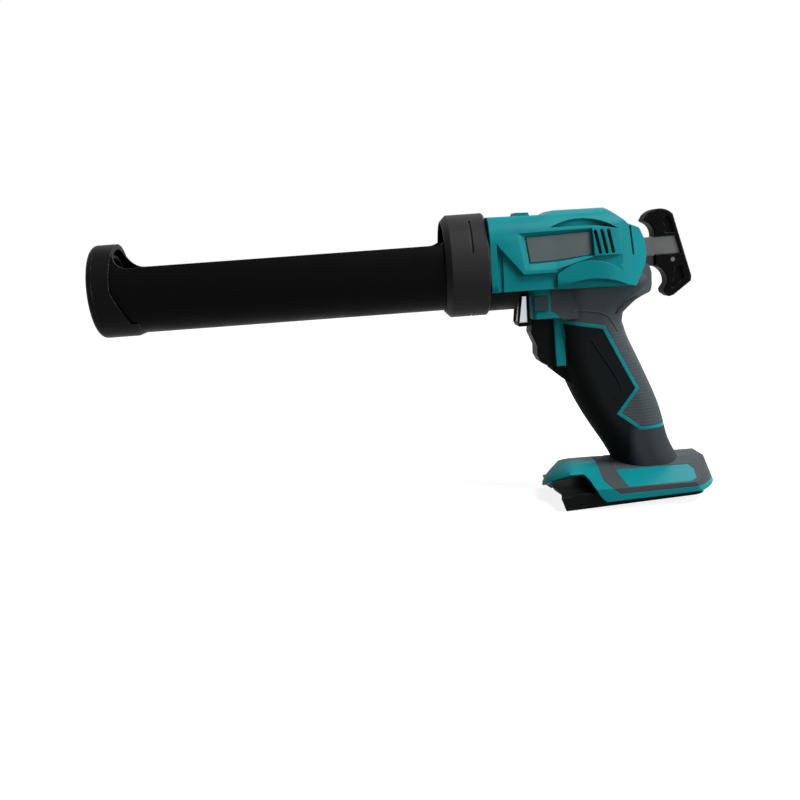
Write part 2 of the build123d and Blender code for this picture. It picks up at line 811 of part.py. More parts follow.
with BuildPart() as nub:
    with BuildSketch(Plane.XZ) as nub_face:
        nub_top = trigger_bottom - 2 * loose_gap
        side_face([
            at(46, nub_top), at(32.6, nub_top), at(33.6, -69.8), at(42.5, -77.5), at(52, -82.0),
        ])
        fillet(nub_face.vertices().sort_by(Axis.X)[:2], 0.8)
    extrude(amount=nub_half_width)
    add(grip_core, mode=Mode.SUBTRACT)

with BuildPart() as front_pads:
    add(grip_skin.part)
    with BuildSketch(Plane.XZ):
        side_face(below_pad_line)
        offset(amount=-piping_width / 2, kind=Kind.INTERSECTION)
    extrude(amount=far, both=True, mode=Mode.INTERSECT)
    add(nub.part)

with BuildPart() as hump:
    with BuildSketch(Plane.XZ) as hump_face:
        side_face([
            at(84, -7), at(95.5, -6.6), at(100, -13.5), at(100, -19), at(97.5, -23.5), at(86, -29.2), at(80, -34.5),
            at(79, -39), at(70, -30),
        ])
        fillet(hump_face.vertices().sort_by(Axis.X)[-3:], 3.0)
    extrude(amount=hump_half_width)
    with BuildSketch(Plane.XY.offset(-far)):
        with Locations((body_front + hump_middle, 0)):
            Ellipse(hump_reach, hump_half_width)
    extrude(amount=2 * far, mode=Mode.INTERSECT)

with BuildPart() as back_pads:
    add(grip_skin.part)
    with BuildSketch(Plane.XZ):
        side_face(below_pad_line)
        offset(amount=piping_width / 2, kind=Kind.INTERSECTION)
    extrude(amount=far, both=True, mode=Mode.SUBTRACT)
    add(hump.part)
    with BuildSketch(Plane.XZ.offset(frame_half_width - pad_thickness)):
        side_face([
            at(31.0, under_nose_top), at(48, under_nose_top), at(48, -36.8), at(38.5, -36.8), at(35.6, -34),
            at(31.4, -31.2),
        ])
    extrude(amount=pad_thickness)
    add(body_outer, mode=Mode.SUBTRACT)
    add(grip_core, mode=Mode.SUBTRACT)
    with BuildSketch(Plane.YZ.offset(body_front)):
        with Locations((0, rod_mid)):
            Rectangle(2 * bush_half_width, bush_height)
    extrude(amount=far, mode=Mode.SUBTRACT)

with BuildPart() as foot_pads:
    add(foot_outer)
    add(foot_core, mode=Mode.SUBTRACT)
    add(grip_outer, mode=Mode.SUBTRACT)
    with BuildSketch(Plane.XZ):
        side_face([
            at(60.0, -120), at(58.6, -139.2), at(67.0, -146.4), at(150, -144.6), at(150, -120),
        ])
    extrude(amount=far, both=True, mode=Mode.INTERSECT)
    with BuildSketch(Plane.XZ):
        side_face([
            at(68.5, -134.2), at(114.0, -134.0), at(118.0, -137.4), at(116.5, -141.0), at(112.0, -142.1), at(72.5, -142.3),
        ])
    extrude(amount=far, both=True, mode=Mode.SUBTRACT)

# Trigger: hollow behind its curved front, so that it can slide over the switch
with BuildPart() as trigger:
    with BuildSketch(Plane.XZ) as trigger_face:
        side_face([
            at(22.0, trigger_top), at(20.4, -44.9), at(24.0, -53.6), at(23.9, -59.8), at(26.0, -64.0),
            at(29.6, trigger_bottom), at(trigger_back, trigger_bottom), at(trigger_back, trigger_top),
        ])
        fillet(trigger_face.vertices().sort_by(Axis.X)[:4], 1.6)
    extrude(amount=trigger_half_width, both=True)
    fillet(trigger.edges().filter_by(Plane.XZ).filter_by(lambda e: e.center().X < body_front + 27), 1.2)
    with BuildSketch(Plane.XZ):
        side_face([at(26.9, -38.5), at(26.9, -59.5), at(60, -59.5), at(60, -38.5)])
    extrude(amount=trigger_half_width - trigger_wall, both=True, mode=Mode.SUBTRACT)
save(trigger, "trigger")

with BuildPart() as switch:
    with BuildSketch(Plane.XZ):
        side_face([
            at(switch_front, switch_top), at(switch_front, switch_bottom), at(switch_rear, switch_bottom),
            at(switch_rear, switch_top),
        ])
    extrude(amount=switch_half_width, both=True)
    chamfer(switch.edges().filter_by(Axis.Y), 0.8)
save(switch, "trigger_switch")

# Direction selector: a bar pushed through from either side
selector_near = frame_half_width + selector_proud
with BuildPart() as selector:
    with BuildSketch(Plane.XZ.offset(-selector_near - selector_travel)):
        with Locations(at(selector_place, selector_level)):
            RectangleRounded(selector_length, selector_height, selector_corner)
    extrude(amount=2 * selector_near + selector_travel)
save(selector, "selector_button")

# Work light: clear lens in a black holder under the nose
lens_outline = [
    at(lamp_front + lamp_slant, lamp_top), at(lamp_back, lamp_top), at(lamp_back, lamp_bottom),
    at(lamp_front, lamp_bottom),
]
with BuildPart() as lens:
    with BuildSketch(Plane.XZ):
        side_face(lens_outline)
    extrude(amount=lamp_half_width, both=True)
    chamfer(lens.edges().filter_by(Plane.XZ), 0.5)
save(lens, "lamp_lens")

holder_front = under_nose_rear + loose_gap
with BuildPart() as holder:
    with BuildSketch(Plane.XZ):
        side_face([
            at(holder_front + lamp_slant, under_nose_top), at(frame_front, under_nose_top),
            at(frame_front, holder_bottom), at(holder_front + 1, holder_bottom), at(holder_front, lamp_bottom),
        ])
    extrude(amount=lamp_half_width + lamp_bezel / 2, both=True)
    with BuildSketch(Plane.XZ):
        side_face(lens_outline)
    extrude(amount=far, both=True, mode=Mode.SUBTRACT)
    with BuildSketch(Plane.YZ.offset(body_front)):
        with Locations((0, (lamp_top + lamp_bottom) / 2)):
            Rectangle(2 * (lamp_half_width - lamp_bezel), lamp_top - lamp_bottom)
    extrude(amount=lamp_front + lamp_slant, mode=Mode.SUBTRACT)
save(holder, "lamp_holder")

# Housing: the left half as a shell; the right half mirrors it
screw_places = [
    at(7, 21), at(73, 20), at(84, -23), at(86, -118), at(50, -75), at(52, -138.6), at(112, -138.6),
]
foot_inside = [
    at(29.2, -far), at(29.2, -147.5), at(31.5, -143.0), at(36.0, -138.6), at(42.0, -135.9), at(49.5, -134.6),
    at(rail_rear + seat_gap, -134.6), at(rail_rear + seat_gap, -far),
]
recess_rim = [at(11.0, 18.2), at(56.5, 18.2), at(57.6, 1.0), at(34.5, -5.4), at(14.6, -5.2)]
label_face = [at(16.6, 14.6), at(56.2, 15.8), at(56.8, 2.0), at(36.0, 0.2), at(18.8, -0.4)]
brow_face = [at(30.6, 19.4), at(58.0, 19.0), at(72.0, 17.4), at(72.0, 40), at(30.6, 40)]
panel_face = [at(-1.5, 12.0), at(14.2, -7.2), at(34.5, -7.2), at(34.5, -40), at(-1.5, -40)]
panel_groove_face = [at(-1.5, 10.0), at(2.2, 5.4), at(1.6, -40), at(-1.5, -40)]
rear_groove_face = [at(79.6, 17.6), at(80.8, 17.6), at(83.0, 0), at(81.8, 0)]
guard_face = [at(34.6, -34), at(34.9, -58), at(36.8, -63.5), at(47, -66), at(50, -34)]
top_bump_face = [at(12.6, 24), at(14.2, 30.2), at(22.0, 29.9), at(24.0, 24)]

with BuildPart() as outer_form:
    add(body_outer)
    add(grip_outer)
    add(trigger_frame.part)
    add(foot_outer)
    with BuildSketch(Plane.XZ):
        side_face(top_bump_face)
    extrude(amount=top_bump_half_width)
    with BuildSketch(Plane.XZ):
        side_face(guard_face)
    extrude(amount=trigger_half_width + loose_gap + guard_wall)

with BuildPart() as bosses:
    with BuildSketch(Plane.XZ):
        with Locations(*screw_places):
            Circle(boss_diameter / 2)
    extrude(amount=far)
    add(outer_form.part, mode=Mode.INTERSECT)

with BuildPart() as motor_ribs:
    for place in rib_places:
        with BuildSketch(motor_plane(place)):
            Rectangle(far, 50)
        extrude(amount=rib_thickness)
    add(grip_inner, mode=Mode.INTERSECT)
    with BuildSketch(motor_plane(0)):
        Circle(motor_diameter / 2 + seat_gap)
    extrude(amount=far, mode=Mode.SUBTRACT)

with BuildPart() as half_shell:
    add(outer_form.part)
    add(body_form(body_wall), mode=Mode.SUBTRACT)
    add(grip_inner, mode=Mode.SUBTRACT)
    with BuildSketch(Plane.XZ):
        side_face([
            at(frame_front + grip_wall, -10), at(frame_front + grip_wall, frame_floor + grip_wall),
            at(frame_rear, frame_floor + grip_wall), at(frame_rear, -10),
        ])
    extrude(amount=frame_half_width - pad_thickness - grip_wall, both=True, mode=Mode.SUBTRACT)
    with BuildPart(mode=Mode.SUBTRACT):
        with BuildSketch(Plane.XZ):
            side_face(foot_inside)
        extrude(amount=far, both=True)
        add(foot_form(foot_wall), mode=Mode.INTERSECT)
    add(bosses.part)
    add(motor_ribs.part)
    add(front_pads.part, mode=Mode.SUBTRACT)
    add(back_pads.part, mode=Mode.SUBTRACT)
    add(foot_pads.part, mode=Mode.SUBTRACT)
    with BuildSketch(Plane.YZ.offset(housing_front)):
        with Locations((0, (case_top + case_floor) / 2)):
            Rectangle(2 * (case_half_width + loose_gap), case_top - case_floor + 2 * loose_gap)
    extrude(amount=body_reach + 2 * body_wall, mode=Mode.SUBTRACT)
    with BuildSketch(Plane.YZ.offset(rear_bush_front)):
        with Locations((0, rod_mid)):
            Rectangle(2 * bush_half_width, bush_height)
    extrude(amount=far, mode=Mode.SUBTRACT)
    with BuildSketch(Plane.YZ.offset(body_front + body_length / 2)):
        with Locations((0, rod_mid)):
            Rectangle(rod_passage_width, rod_passage_height)
    extrude(amount=far, mode=Mode.SUBTRACT)
    with BuildSketch(Plane.XZ):
        slot_rear = trigger_back + trigger_travel + 2
        slot_bottom = trigger_bottom - loose_gap
        side_face([at(15, -35.7), at(slot_rear, -35.7), at(slot_rear, slot_bottom), at(15, slot_bottom)])
    extrude(amount=trigger_half_width + loose_gap, both=True, mode=Mode.SUBTRACT)
    with BuildSketch(Plane.XZ):
        with Locations(at(selector_place, selector_level)):
            RectangleRounded(selector_length + 2 * slide_gap, selector_height + 2 * slide_gap, selector_corner)
    extrude(amount=far, both=True, mode=Mode.SUBTRACT)
    with BuildSketch(Plane.XZ.offset(label_floor)):
        side_face(label_face)
    with BuildSketch(Plane.XZ.offset(body_half_width)):
        side_face(recess_rim)
    loft(ruled=True, mode=Mode.SUBTRACT)
    for floor, outline in [
        (brow_floor, brow_face), (panel_floor, panel_face), (panel_groove_floor, panel_groove_face),
        (rear_groove_floor, rear_groove_face),
    ]:
        with BuildSketch(Plane.XZ.offset(floor)):
            side_face(outline)
        extrude(amount=far, mode=Mode.SUBTRACT)
    with BuildSketch(Plane.XZ.offset(cheek_floor)):
        with BuildLine():
            ThreePointArc(at(34.5, -17.8), at(55.0, -12.6), at(77.0, -17.2))
            Polyline(at(77.0, -17.2), at(77.0, -18.6), at(34.5, -18.6), at(34.5, -17.8))
        make_face()
    extrude(amount=far, mode=Mode.SUBTRACT)
    with BuildSketch(Plane.XZ.offset(body_half_width - 2 * body_wall)):
        for k in range(vent_count):
            with Locations(at(vent_middle + (k - (vent_count - 1) / 2) * vent_pitch, vent_level)):
                SlotOverall(vent_length, vent_width, rotation=90 + vent_lean)
    extrude(amount=far, mode=Mode.SUBTRACT)

with BuildPart() as label:
    with BuildSketch(Plane.XZ.offset(label_floor)):
        side_face(label_face)
        offset(amount=-seat_gap, kind=Kind.INTERSECTION)
    extrude(amount=label_thickness)

with BuildPart() as housing_left:
    add(half_shell.part)
    with BuildSketch(Plane.XZ):
        with Locations(*screw_places):
            Circle(screw_diameter / 2 + seat_gap)
    extrude(amount=-screw_tip_level, mode=Mode.SUBTRACT)
save(housing_left, "housing_left")

with BuildPart() as housing_right:
    add(half_shell.part)
    mirror(about=Plane.XZ, mode=Mode.REPLACE)
    with BuildSketch(Plane.XZ):
        with Locations(*screw_places):
            Circle(screw_diameter / 2 + seat_gap)
    extrude(amount=-screw_head_level, mode=Mode.SUBTRACT)
    with BuildSketch(Plane.XZ.offset(screw_head_height - screw_head_level)):
        with Locations(*screw_places):
            Circle(screw_head_diameter / 2 + loose_gap)
    extrude(amount=-far, mode=Mode.SUBTRACT)
save(housing_right, "housing_right")

# Trim of both sides; the right-hand pieces are open over the screw heads
trim = [(front_pads, "grip_front"), (back_pads, "grip_back"), (foot_pads, "foot_pad"), (label, "label_plate")]
for piece, name in trim:
    save(piece, f"{name}_left")
    with BuildPart() as right_piece:
        add(piece.part)
        mirror(about=Plane.XZ, mode=Mode.REPLACE)
        with BuildSketch(Plane.XZ):
            with Locations(*screw_places):
                Circle(screw_head_diameter / 2 + loose_gap)
        extrude(amount=-far, mode=Mode.SUBTRACT)
    save(right_piece, f"{name}_right")

with BuildPart() as screws:
    with BuildSketch(Plane.XZ.offset(-screw_head_level)):
        with Locations(*screw_places):
            Circle(screw_head_diameter / 2)
    extrude(amount=screw_head_height)
    with BuildSketch(Plane.XZ.offset(-screw_head_level + screw_head_height)):
        with Locations(*screw_places):
            Circle(screw_diameter / 2)
    extrude(amount=screw_head_level - screw_head_height - screw_tip_level - 1)
save(screws, "housing_screws")

# Battery rail in the foot: ceiling that fits between the walls, two cheeks with inward lips, rear wall
rail_inner = rail_half_width - rail_cheek
with BuildPart() as rail:
    with BuildSketch(Plane.XZ):
        side_face([
            at(rail_front, rail_ceiling), at(rail_rear, rail_ceiling), at(rail_rear, rail_heel_top),
            at(rail_heel, rail_heel_top), at(rail_heel, rail_low_rear), at(33.8, rail_low_front),
        ])
    extrude(amount=rail_half_width, both=True)
    with BuildSketch(Plane.XY.offset(-far)) as rail_plan:
        with Locations((body_front + rail_heel / 2, 0)):
            Rectangle(rail_heel, 2 * rail_half_width)
        fillet(rail_plan.vertices().group_by(Axis.X)[-1], rail_corner)
    extrude(amount=far, mode=Mode.INTERSECT)
    with BuildSketch(Plane.XZ):
        side_face([
            at(0, rail_ceiling - rail_plate), at(rail_rear - rail_cheek, rail_ceiling - rail_plate),
            at(rail_rear - rail_cheek, rail_low_rear + rail_lip_height), at(0, rail_low_front + rail_lip_height),
        ])
    extrude(amount=rail_inner, both=True, mode=Mode.SUBTRACT)
    with BuildSketch(Plane.XZ):
        side_face([
            at(0, rail_ceiling - rail_plate), at(rail_rear - rail_cheek, rail_ceiling - rail_plate),
            at(rail_rear - rail_cheek, -far), at(0, -far),
        ])
    extrude(amount=rail_inner - rail_lip, both=True, mode=Mode.SUBTRACT)
    with BuildSketch(Plane.XY.offset(rail_ceiling)):
        with Locations((body_front + board_middle, 0)):
            with GridLocations(board_length - 10, board_width - 8, 2, 2):
                Circle(board_post_diameter / 2)
    extrude(amount=board_standoff)
    with BuildSketch(Plane.XY.offset(rail_ceiling)):
        with Locations((body_front + (rail_tongue_front + rail_tongue_rear) / 2, 0)):
            Rectangle(rail_tongue_rear - rail_tongue_front, 2 * (foot_half_width - foot_wall - seat_gap))
    extrude(amount=-rail_plate)
save(rail, "battery_rail")

with BuildPart() as board:
    with BuildSketch(Plane.XY.offset(rail_ceiling + board_standoff)):
        with Locations((body_front + board_middle, 0)):
            Rectangle(board_length, board_width)
    extrude(amount=board_thickness)
    with BuildSketch(Plane.XY.offset(rail_ceiling + board_standoff + board_thickness)):
        with Locations((body_front + board_middle - 6, -6), (body_front + board_middle + 8, 5)):
            Rectangle(9, 12)
    extrude(amount=chip_height)
save(board, "control_board")

terminal_top = rail_ceiling - rail_plate
blade_places = [(k * blade_pitch, terminal_top - terminal_height / 2) for k in (-1, 0, 1)]
with BuildPart() as terminal_block:
    with BuildSketch(Plane.XY.offset(terminal_top - terminal_height)):
        with Locations((body_front + terminal_front + terminal_length / 2, 0)):
            Rectangle(terminal_length, terminal_width)
    extrude(amount=terminal_height)
    with BuildSketch(Plane.YZ.offset(body_front + blade_front)):
        with Locations(*blade_places):
            Rectangle(blade_thickness + 2 * seat_gap, blade_height + 2 * seat_gap)
    extrude(amount=blade_length + seat_gap, mode=Mode.SUBTRACT)
save(terminal_block, "terminal_block")

with BuildPart() as blades:
    with BuildSketch(Plane.YZ.offset(body_front + blade_front)):
        with Locations(*blade_places):
            Rectangle(blade_thickness, blade_height)
    extrude(amount=blade_length)
save(blades, "terminal_blades")
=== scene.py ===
"""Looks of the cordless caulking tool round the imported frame: materials, later forms, studio and camera.

Sizes of the forms are millimetres: x from the front of the housing's body, y from the middle plane and
z from the plunger axis. Materials, shading, lights and camera are in metres.
"""

import json
from math import cos, hypot, radians, sin, sqrt

import bmesh
import bpy
from mathutils import Matrix, Vector


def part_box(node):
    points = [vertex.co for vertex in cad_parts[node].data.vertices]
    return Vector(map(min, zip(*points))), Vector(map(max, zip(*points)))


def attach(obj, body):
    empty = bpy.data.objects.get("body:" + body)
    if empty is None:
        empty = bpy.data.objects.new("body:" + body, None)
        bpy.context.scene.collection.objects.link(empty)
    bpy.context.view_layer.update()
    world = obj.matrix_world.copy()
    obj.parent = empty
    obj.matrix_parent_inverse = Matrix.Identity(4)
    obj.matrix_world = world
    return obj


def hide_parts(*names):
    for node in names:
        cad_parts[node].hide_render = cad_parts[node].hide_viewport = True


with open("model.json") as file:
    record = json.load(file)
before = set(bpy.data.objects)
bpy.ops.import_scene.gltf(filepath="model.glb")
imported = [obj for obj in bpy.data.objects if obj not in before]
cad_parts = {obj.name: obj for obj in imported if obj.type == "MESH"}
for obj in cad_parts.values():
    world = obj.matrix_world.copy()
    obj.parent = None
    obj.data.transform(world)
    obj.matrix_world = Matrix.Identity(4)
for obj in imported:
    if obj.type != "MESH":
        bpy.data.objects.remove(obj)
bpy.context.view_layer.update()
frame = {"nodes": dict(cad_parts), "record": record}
nodes = frame["nodes"]
scene = bpy.context.scene
hands = (("left", -1), ("right", 1))


# Shader nodes
def linear(red, green, blue):
    """Linear colour of an 8-bit display colour."""
    def one(value):
        value /= 255
        return value / 12.92 if value <= 0.04045 else ((value + 0.055) / 1.055) ** 2.4
    return (one(red), one(green), one(blue), 1.0)


def scaled(color, factor, lift=0.0):
    return tuple(lift + factor * value for value in color[:3]) + (1,)


def feed(tree, socket, value):
    """Give a socket a constant or the output of another node."""
    if isinstance(value, bpy.types.NodeSocket):
        tree.links.new(value, socket)
    else:
        socket.default_value = value


def noise(tree, scale, detail, vector):
    node = tree.nodes.new("ShaderNodeTexNoise")
    feed(tree, node.inputs["Scale"], scale)
    feed(tree, node.inputs["Detail"], detail)
    feed(tree, node.inputs["Vector"], vector)
    return node.outputs["Fac"]


def spread(tree, value, target, source=(0.3, 0.7)):
    """Carry a value from one range to another."""
    node = tree.nodes.new("ShaderNodeMapRange")
    feed(tree, node.inputs["Value"], value)
    feed(tree, node.inputs["From Min"], source[0])
    feed(tree, node.inputs["From Max"], source[1])
    feed(tree, node.inputs["To Min"], target[0])
    feed(tree, node.inputs["To Max"], target[1])
    return node.outputs["Result"]


def product(tree, a, b):
    node = tree.nodes.new("ShaderNodeMath")
    node.operation = "MULTIPLY"
    feed(tree, node.inputs[0], a)
    feed(tree, node.inputs[1], b)
    return node.outputs["Value"]


def mixed(tree, share, a, b):
    """Colour between two colours."""
    node = tree.nodes.new("ShaderNodeMix")
    node.data_type = "RGBA"
    feed(tree, node.inputs["Factor"], share)
    feed(tree, node.inputs["A"], a)
    feed(tree, node.inputs["B"], b)
    return node.outputs["Result"]


def raised(tree, height, strength, depth, normal):
    """Normal of a surface with a relief on it."""
    node = tree.nodes.new("ShaderNodeBump")
    feed(tree, node.inputs["Strength"], strength)
    feed(tree, node.inputs["Distance"], depth)
    feed(tree, node.inputs["Height"], height)
    feed(tree, node.inputs["Normal"], normal)
    return node.outputs["Normal"]


def along(tree, place, axis):
    node = tree.nodes.new("ShaderNodeSeparateXYZ")
    feed(tree, node.inputs["Vector"], place)
    return node.outputs[axis]


# Materials
mottle = 0.06
mottle_scale = 55
mottle_detail = 4
gloss_below = 0.07
gloss_above = 0.09
least_rough = 0.05
coat_rough = 0.2
grain_detail = 2
grain_strength = 0.6
edge_radius = 0.0006
edge_samples = 4
edge_range = (0.86, 0.99)
scuff_scale = 320
scuff_detail = 5
scuff_range = (0.42, 0.62)
worn_lift = 0.25
rib_scale = 160
rib_distortion = 0.6
rib_strength = 0.4
rib_depth = 0.0002
rib_fade = (-0.048, -0.042)
# Painted light: the front grip pads turn grey towards their lower rear, where they face the light
painted_light_grey = linear(50, 54, 57)
painted_light_front = (0.3255, 0.331)
painted_light_top = (-0.1065, -0.1105)


def worn_edges(tree, place, rounded):
    """Share of the surface that is scuffed: broken patches along the sharp edges."""
    geometry = tree.nodes.new("ShaderNodeNewGeometry")
    dot = tree.nodes.new("ShaderNodeVectorMath")
    dot.operation = "DOT_PRODUCT"
    feed(tree, dot.inputs[0], rounded)
    feed(tree, dot.inputs[1], geometry.outputs["Normal"])
    edges = spread(tree, dot.outputs["Value"], (1, 0), edge_range)
    scuffs = spread(tree, noise(tree, scuff_scale, scuff_detail, place), (0, 1), scuff_range)
    return product(tree, edges, scuffs)


def with_ribs(tree, place, normal):
    """Normal with fine level ribs that fade out towards the top of the grip."""
    wave = tree.nodes.new("ShaderNodeTexWave")
    wave.bands_direction = "Z"
    feed(tree, wave.inputs["Scale"], rib_scale)
    feed(tree, wave.inputs["Distortion"], rib_distortion)
    feed(tree, wave.inputs["Vector"], place)
    below = spread(tree, along(tree, place, "Z"), (1, 0), rib_fade)
    ribs = product(tree, wave.outputs["Fac"], below)
    return raised(tree, ribs, rib_strength, rib_depth, normal)


def with_painted_light(tree, place, surface):
    """Surface colour that turns grey at the lower rear of the grip: painted light where the pad faces the
    light.
    """
    behind = spread(tree, along(tree, place, "X"), (0, 1), painted_light_front)
    under = spread(tree, along(tree, place, "Z"), (0, 1), painted_light_top)
    return mixed(tree, product(tree, behind, under), surface, painted_light_grey)


def material(name, color, rough, specular=0.5, metallic=0.0, coat=0.0, glow=0.0, wear=0.25,
             grain=2600, grain_depth=0.00003, brushed=(1, 1, 1), ribbed=False, painted_light_patch=False):
    """Surface with a fine grain, uneven gloss, faint mottling and lighter edges."""
    mat = bpy.data.materials.new(name)
    mat.use_nodes = True
    tree = mat.node_tree
    shader = tree.nodes["Principled BSDF"].inputs
    shader["Metallic"].default_value = metallic
    shader["Specular IOR Level"].default_value = specular
    shader["Coat Weight"].default_value = coat
    shader["Coat Roughness"].default_value = coat_rough
    shader["Emission Color"].default_value = color
    shader["Emission Strength"].default_value = glow
    place = tree.nodes.new("ShaderNodeTexCoord").outputs["Object"]
    stretch = tree.nodes.new("ShaderNodeMapping")
    feed(tree, stretch.inputs["Scale"], brushed)
    feed(tree, stretch.inputs["Vector"], place)

    cloud = noise(tree, mottle_scale, mottle_detail, place)
    gloss = (max(least_rough, rough - gloss_below), min(1, rough + gloss_above))
    feed(tree, shader["Roughness"], spread(tree, cloud, gloss))

    bevel = tree.nodes.new("ShaderNodeBevel")
    bevel.samples = edge_samples
    feed(tree, bevel.inputs["Radius"], edge_radius)
    rounded = bevel.outputs["Normal"]
    fine = noise(tree, grain, grain_detail, stretch.outputs["Vector"])
    normal = raised(tree, fine, grain_strength, grain_depth, rounded)
    if ribbed:
        normal = with_ribs(tree, place, normal)
    feed(tree, shader["Normal"], normal)

    share = spread(tree, cloud, (0, 1))
    surface = mixed(tree, share, scaled(color, 1 - mottle), scaled(color, 1 + mottle))
    # Painted light at the lower rear of the grip
    if painted_light_patch:
        surface = with_painted_light(tree, place, surface)
    worn = product(tree, worn_edges(tree, place, rounded), wear)
    worn_color = scaled(color, 1 - worn_lift, worn_lift)
    feed(tree, shader["Base Color"], mixed(tree, worn, surface, worn_color))
    return mat


rubber = {"grain": 1500, "grain_depth": 0.00006, "wear": 0.12}
clear = {"grain_depth": 0.000005, "wear": 0.0, "coat": 0.5}
drawn = {"grain": 900, "brushed": (0.04, 1, 1)}
# The front pads' black and the back pads' grey are partly two rubbers and partly painted shade on the front
# pads and painted light on the back pads
black_pad = linear(19, 22, 22)
grey_pad = linear(55, 61, 64)

teal = material("teal_plastic", linear(2, 112, 118), 0.46, specular=0.1, wear=0.1, grain=3200)
black_metal = material("black_metal", linear(7, 7, 7), 0.45, specular=0.03, wear=0.2, grain=1800)
dark_metal = material("dark_metal", linear(36, 36, 37), 0.5, specular=0.07, wear=0.2, grain=1700)
cap_metal = material("cap_metal", linear(12, 12, 12), 0.46, specular=0.05, wear=0.3, grain=1700)
black_plastic = material("black_plastic", linear(7, 9, 9), 0.52, specular=0.05, wear=0.15)
grey_plastic = material("grey_plastic", linear(80, 90, 91), 0.5, specular=0.12, wear=0.15)
black_rubber = material("black_rubber", black_pad, 0.72, specular=0.03, **rubber)
# The front grip pads carry painted light at their lower rear
grip_rubber = material("grip_rubber", black_pad, 0.72, specular=0.03, painted_light_patch=True, **rubber)
grey_rubber = material("grey_rubber", grey_pad, 0.7, specular=0.12, **rubber)
ribbed_rubber = material("ribbed_rubber", grey_pad, 0.7, specular=0.12, ribbed=True, **rubber)
# The lens's glow is painted light that brightens its sides
lens_plastic = material("lens_plastic", linear(240, 246, 248), 0.18, glow=0.5, **clear)
lens_end = material("lens_end", linear(70, 74, 76), 0.2, **clear)
handle_black = material("handle_black", linear(5, 5, 6), 0.5, specular=0.03, wear=0.25)
selector_grey = material("selector_grey", linear(42, 58, 62), 0.5, specular=0.12, wear=0.15)
steel = material("steel", linear(84, 85, 85), 0.38, metallic=1.0, wear=0.3, **drawn)
dark_steel = material("dark_steel", linear(34, 34, 35), 0.45, metallic=0.7, wear=0.4, **drawn)
cast_aluminium = material("cast_aluminium", linear(150, 152, 154), 0.5, metallic=1.0, wear=0.2)
bronze = material("bronze", linear(170, 130, 80), 0.35, metallic=1.0, wear=0.2)
board_green = material("board_green", linear(20, 92, 52), 0.3, wear=0.0)

by_slot = {
    "teal_plastic": teal, "black_metal": black_metal, "dark_metal": dark_metal,
    "black_plastic": black_plastic, "grey_plastic": grey_plastic, "black_rubber": black_rubber,
    "grey_rubber": grey_rubber, "lens_plastic": lens_plastic, "steel": steel, "dark_steel": dark_steel,
    "cast_aluminium": cast_aluminium, "bronze": bronze, "board": board_green,
}
by_node = {
    "front_cap": cap_metal, "cap_skirt": cap_metal, "pull_handle": handle_black,
    "selector_button": selector_grey, "grip_front_left": grip_rubber, "grip_front_right": grip_rubber,
    "grip_back_left": ribbed_rubber, "grip_back_right": ribbed_rubber,
}
weld_distance = 0.000004
sharp_angle = radians(32)
facing_front = -0.5


def smooth(piece):
    """Smooth shading that stays sharp at the real edges."""
    mesh = piece.data
    if "custom_normal" in mesh.attributes:
        mesh.attributes.remove(mesh.attributes["custom_normal"])
    mesh.polygons.foreach_set("use_smooth", [True] * len(mesh.polygons))
    weld = piece.modifiers.new("weld", "WELD")
    weld.merge_threshold = weld_distance
    split = piece.modifiers.new("split", "EDGE_SPLIT")
    split.split_angle = sharp_angle


for part in frame["record"]["subparts"]:
    piece = nodes[part["node"]]
    piece.data.materials.clear()
    piece.data.materials.append(by_node.get(part["node"]) or by_slot[part["material_slot"]])
    smooth(piece)

# The lens is frosted white, with a glow of painted light, at its sides and clear at the front
lens_mesh = nodes["lamp_lens"].data
lens_mesh.materials.append(lens_end)
for face in lens_mesh.polygons:
    if face.normal.x < facing_front:
        face.material_index = 1

# Sizes that the forms take over from the solids
body_reach = 5.4
body_front = round(1000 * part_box("housing_left")[0].x + body_reach, 3)
collar_front = round(1000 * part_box("collar_nut")[0].x, 3)
body_half_width = 29.0
body_top = 30.0
roof_radius = 17.0
taper_start = 62.0
taper_radius = 47.5
foot_top = -132.0
foot_flat = 8.0
foot_slope = 0.375
foot_front = 25.0
foot_half_width = 36.0
foot_corner = 12.0
rail_front = 30.2
rail_half_width = 31.0
rail_corner = 9.0

# Grip: height, front, back and half width of its sections, and the share that is rounded
grip_rows = [
    (-141.0, 75.0, 114.0, 21.0), (-124.0, 68.0, 109.5, 20.0), (-106.0, 57.0, 104.3, 18.6),
    (-88.0, 47.5, 98.6, 18.0), (-70.0, 40.5, 91.0, 18.0), (-52.0, 36.5, 83.0, 18.4),
    (-42.0, 35.5, 79.4, 19.3), (-36.0, 35.0, 79.5, 20.0), (-24.0, 34.5, 90.0, 22.5),
    (-12.0, 34.5, 94.0, 25.0),
]
grip_corner = 0.86

# Reach of the cutting solids, and their divisions in height
far = 60.0
past_middle = -1.0
block_rows = 24


# Tools for the forms
def metres(x, y, z):
    return (x / 1000, y / 1000, z / 1000)


def steps(start, end, count):
    return [start + (end - start) * k / count for k in range(count + 1)]


def between(rows, place):
    """Values of a table at a place in its first column, straight between its rows."""
    if place <= rows[0][0]:
        return rows[0][1:]
    for low, high in zip(rows, rows[1:]):
        if place <= high[0]:
            share = (place - low[0]) / (high[0] - low[0])
            return tuple(a + share * (b - a) for a, b in zip(low[1:], high[1:]))
    return rows[-1][1:]


def arch(a, b, c):
    """Height along the arch through three points of the side view."""
    (ax, az), (bx, bz), (cx, cz) = a, b, c
    double = 2 * (ax * (bz - cz) + bx * (cz - az) + cx * (az - bz))
    sa, sb, sc = (x * x + z * z for x, z in (a, b, c))
    middle = (sa * (bz - cz) + sb * (cz - az) + sc * (az - bz)) / double
    level = (sa * (cx - bx) + sb * (ax - cx) + sc * (bx - ax)) / double
    radius = hypot(ax - middle, az - level)
    return lambda x: level + sqrt(max(0.0, radius ** 2 - (x - middle) ** 2))


